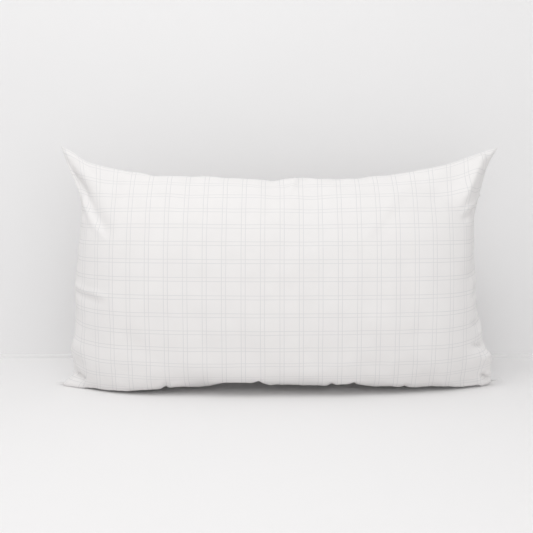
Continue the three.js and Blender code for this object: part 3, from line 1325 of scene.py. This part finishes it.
class PILLOW_OT_seam_stitching(bpy.types.Operator):
    """Sew the casing: three inside seams and the topstitched closing seam"""

    bl_idname = "pillow.seam_stitching"
    bl_label = "Seam stitching"

    def execute(self, context):
        sizes = context.scene.pillow_sizes
        front = outer_face(sizes, "front_ticking")
        back = outer_face(sizes, "back_ticking")
        material = thread_material(context.scene.pillow_looks)
        out = plane_normal(sizes)
        for edge in ("top", "bottom", "left", "closing"):
            path = resampled(seam_path(front, back, edge)[2:-2], THREAD_STEP)
            length = running_length(*path.T)
            path = path + THREAD_SWAY * np.sin(math.pi * length / sizes.stitch)[:, None] * out
            if edge == "bottom":
                path[:, 2] = path[:, 2].clip(FLOOR_GAP + sizes.thread)
            radii = np.full(len(path), sizes.thread)
            radii[[0, -1]] *= THREAD_END
            sets = [(path[None], radii, out)]
            if edge == "closing":
                sets.append(self.topstitches(sizes, front, FRONT))
                sets.append(self.topstitches(sizes, back, BACK))
                sets.append(self.thread_tail(sizes, front, back))
            piece = tube_piece(f"{edge}_seam_thread", sets, material)
            finish_piece(piece, f"{edge}_seam_stitching")
        return {"FINISHED"}

    def topstitches(self, sizes, face, side):
        """The row of stitches that shows on one panel beside the closing seam: each is an
        arch as long as two thirds of a stitch, lying on the cloth."""
        share = TOPSTITCH_INSET * (face.shape[1] - 1) / sizes.cut_width
        line = face[:, -1] + (face[:, -2] - face[:, -1]) * share
        line = resampled(line[3:-3], sizes.stitch / TOPSTITCH_STEPS)
        normal = cross_normals(face)[:, -2] * -side
        normal = normal.mean(axis=0) / np.linalg.norm(normal.mean(axis=0))
        count = (len(line) - 1) // TOPSTITCH_STEPS
        t = np.linspace(0, TOPSTITCH_SHARE, TOPSTITCH_RINGS)
        index = (np.arange(count)[:, None] + t) * TOPSTITCH_STEPS
        whole = np.arange(len(line))
        paths = np.stack([np.interp(index, whole, c) for c in line.T], -1)
        arch = np.sin(math.pi * t / TOPSTITCH_SHARE)
        rise = sizes.thread * (TOPSTITCH_ARCH * arch - TOPSTITCH_DEPTH)
        paths = paths + rise[:, None] * normal
        swell = TOPSTITCH_END + (1 - TOPSTITCH_END) * arch.clip(0) ** 0.5
        return paths, sizes.thread * swell, normal

    def thread_tail(self, sizes, front, back):
        """The cut end of the closing seam's thread: a short curl out of its lower end."""
        root = (front[0, -1] + back[0, -1]) / 2
        t = np.linspace(0, 1, TAIL_RINGS)
        x = root[0] + TAIL_OUT * t
        y = root[1] - TAIL_FORWARD * t**2
        z = root[2] + TAIL_ARCH * np.sin(math.pi * t) - TAIL_DROP * t
        path = np.stack([x, y, z.clip(FLOOR_GAP + sizes.thread)], -1)
        radii = np.full(TAIL_RINGS, sizes.thread)
        radii[[0, -1]] *= TAIL_END
        return path[None], radii, np.array([0, 1, 0])


LABEL_CELLS = 12
LABEL_LENGTH = 0.044
LABEL_WIDTH = 0.030
LABEL_THICKNESS = 0.0003

# How the label stands off the panel: its gap, its free end's curl with the curl's power
# and its tilt across the label, and one small twisting wave
LABEL_GAP = 0.0006
LABEL_CURL = 0.005
LABEL_CURL_POWER = 2.2
LABEL_CURL_TILT = 0.3
LABEL_WAVE = 0.0008
LABEL_WAVE_TURN = 4


class PILLOW_OT_care_label(bpy.types.Operator):
    """Sew the blank satin label into the closing seam, over the back panel"""

    bl_idname = "pillow.care_label"
    bl_label = "Care label"

    def execute(self, context):
        sizes = context.scene.pillow_sizes
        back = outer_face(sizes, "back_ticking")
        rows, columns = back.shape[:2]
        centre = (label_low.z + label_high.z) / 2 / math.cos(sizes.lean)
        height = (back[:, -1, 2] - back[0, -1, 2]) / math.cos(sizes.lean)
        row = float(np.interp(centre, height, np.arange(rows)))
        per_metre = (rows - 1) / sizes.cut_height
        across = np.linspace(-LABEL_WIDTH / 2, LABEL_WIDTH / 2, LABEL_CELLS + 1)
        along = np.linspace(0, LABEL_LENGTH, LABEL_CELLS + 1)
        j = row + across * per_metre
        i = columns - 1 - along * (columns - 1) / sizes.cut_width
        face = self.sampled(back, j, i)
        out = self.sampled(-cross_normals(back), j, i)
        a, b = np.meshgrid(np.linspace(0, 1, LABEL_CELLS + 1), np.linspace(-1, 1, LABEL_CELLS + 1))
        curl = LABEL_CURL * a**LABEL_CURL_POWER * (1 + LABEL_CURL_TILT * b)
        wave = LABEL_WAVE * np.sin(LABEL_WAVE_TURN * a) * b
        face = face + (LABEL_GAP + LABEL_THICKNESS + curl + wave)[..., None] * out
        uv = np.stack([a * LABEL_LENGTH, (b + 1) / 2 * LABEL_WIDTH], -1)
        material = label_material(context.scene.pillow_looks)
        label = cloth_shell("satin_label", face, uv, LABEL_THICKNESS, material)
        finish_piece(label, "care_label")
        return {"FINISHED"}

    def sampled(self, grid, j, i):
        """A grid's values between its points, evenly mixed from the four round each."""
        rows, columns = np.meshgrid(j, i, indexing="ij")
        low_j = np.floor(rows).astype(int).clip(0, grid.shape[0] - 2)
        low_i = np.floor(columns).astype(int).clip(0, grid.shape[1] - 2)
        tj, ti = (rows - low_j)[..., None], (columns - low_i)[..., None]
        near = grid[low_j, low_i] * (1 - ti) + grid[low_j, low_i + 1] * ti
        far = grid[low_j + 1, low_i] * (1 - ti) + grid[low_j + 1, low_i + 1] * ti
        return near * (1 - tj) + far * tj


# The backdrop stands close behind the pillow, with a low ledge along its foot
STAGE_REACH = 3.0
WALL_Y = 0.255
LEDGE_DEPTH = 0.012
LEDGE_HEIGHT = 0.006

# Each light: name, place, size and power
LIGHTS = (
    ("key_light", (-0.5, -1.1, 2.4), 1.5, 20),
    ("front_light", (0.5, -2.6, 0.7), 2.0, 10),
)
LIGHT_TARGET = Vector((0, 0, 0.2))
SKY_STRENGTH = 0.63

# The camera looks slightly down
CAMERA_DISTANCE = 2.4
CAMERA_ELEVATION = math.radians(9)
CAMERA_TARGET = Vector((0, 0.018, 0.215))
CAMERA_SENSOR = 36
CAMERA_LENS = 80.5
CAMERA_SHIFT = (-0.0235, 0.0228)


def stage_plane(name, corners, material):
    """A flat stage surface."""
    points = np.array(corners, float)
    plane = new_piece(name, points, np.array([[0, 1, 2, 3]]), material, smooth=False)


def studio_light(name, place, size, power):
    """A square soft white light that faces the pillow."""
    light = bpy.data.lights.new(name, "AREA")
    light.energy = power
    light.size = size
    lamp = bpy.data.objects.new(name, light)
    lamp.location = place
    lamp.rotation_euler = (LIGHT_TARGET - Vector(place)).to_track_quat("-Z", "Y").to_euler()
    bpy.context.scene.collection.objects.link(lamp)


class PILLOW_OT_stage(bpy.types.Operator):
    """Set the pale floor and backdrop, the soft lights and the camera"""

    bl_idname = "pillow.stage"
    bl_label = "Stage"

    def execute(self, context):
        scene = context.scene
        looks = scene.pillow_looks
        r = STAGE_REACH
        stage_plane(
            "studio_floor",
            [(-r, -r, 0), (r, -r, 0), (r, r, 0), (-r, r, 0)],
            studio_material("floor_paint", looks.floor_colour),
        )
        stage_plane(
            "studio_backdrop",
            [(-r, WALL_Y, 0), (r, WALL_Y, 0), (r, WALL_Y, r), (-r, WALL_Y, r)],
            studio_material("backdrop_paint", looks.wall_colour, one_sided=True),
        )
        front, top = WALL_Y - LEDGE_DEPTH, LEDGE_HEIGHT
        stage_plane(
            "studio_ledge_face",
            [(-r, front, 0), (r, front, 0), (r, front, top), (-r, front, top)],
            studio_material("ledge_face_paint", looks.floor_colour, one_sided=True),
        )
        stage_plane(
            "studio_ledge_top",
            [(-r, front, top), (r, front, top), (r, WALL_Y, top), (-r, WALL_Y, top)],
            studio_material("ledge_top_paint", looks.floor_colour),
        )
        for light in LIGHTS:
            studio_light(*light)
        world = bpy.data.worlds.new("studio")
        world.use_nodes = True
        background = world.node_tree.nodes["Background"]
        background.inputs["Color"].default_value = (1, 1, 1, 1)
        background.inputs["Strength"].default_value = SKY_STRENGTH
        scene.world = world
        camera = bpy.data.cameras.new("camera")
        camera.sensor_width = CAMERA_SENSOR
        camera.lens = CAMERA_LENS
        camera.shift_x, camera.shift_y = CAMERA_SHIFT
        eye = bpy.data.objects.new("camera", camera)
        away = Vector((0, -math.cos(CAMERA_ELEVATION), math.sin(CAMERA_ELEVATION)))
        eye.location = CAMERA_TARGET + CAMERA_DISTANCE * away
        eye.rotation_euler = (-away).to_track_quat("-Z", "Y").to_euler()
        scene.collection.objects.link(eye)
        scene.camera = eye
        scene.view_settings.view_transform = "Standard"
        return {"FINISHED"}


STEPS = ("casing", "fibre_fill", "seam_stitching", "care_label", "stage")


class PILLOW_PT_sidebar(bpy.types.Panel):
    """Lists the pillow's sizes, colours and building steps"""

    bl_idname = "PILLOW_PT_sidebar"
    bl_label = "Bed pillow"
    bl_space_type = "VIEW_3D"
    bl_region_type = "UI"
    bl_category = "Pillow"

    def draw(self, context):
        for settings in (context.scene.pillow_sizes, context.scene.pillow_looks):
            box = self.layout.box()
            for name in settings.bl_rna.properties.keys():
                if name not in ("rna_type", "name"):
                    box.prop(settings, name)
        for step in STEPS:
            self.layout.operator(f"pillow.{step}")


CLASSES = (
    PillowSizes,
    PillowLooks,
    PILLOW_OT_casing,
    PILLOW_OT_fibre_fill,
    PILLOW_OT_seam_stitching,
    PILLOW_OT_care_label,
    PILLOW_OT_stage,
    PILLOW_PT_sidebar,
)


def register():
    for item in CLASSES:
        bpy.utils.register_class(item)
    bpy.types.Scene.pillow_sizes = bpy.props.PointerProperty(type=PillowSizes)
    bpy.types.Scene.pillow_looks = bpy.props.PointerProperty(type=PillowLooks)


def unregister():
    del bpy.types.Scene.pillow_looks
    del bpy.types.Scene.pillow_sizes
    for item in reversed(CLASSES):
        bpy.utils.unregister_class(item)


def main():
    register()
    for step in STEPS:
        getattr(bpy.ops.pillow, step)()


if __name__ == "__main__":
    main()
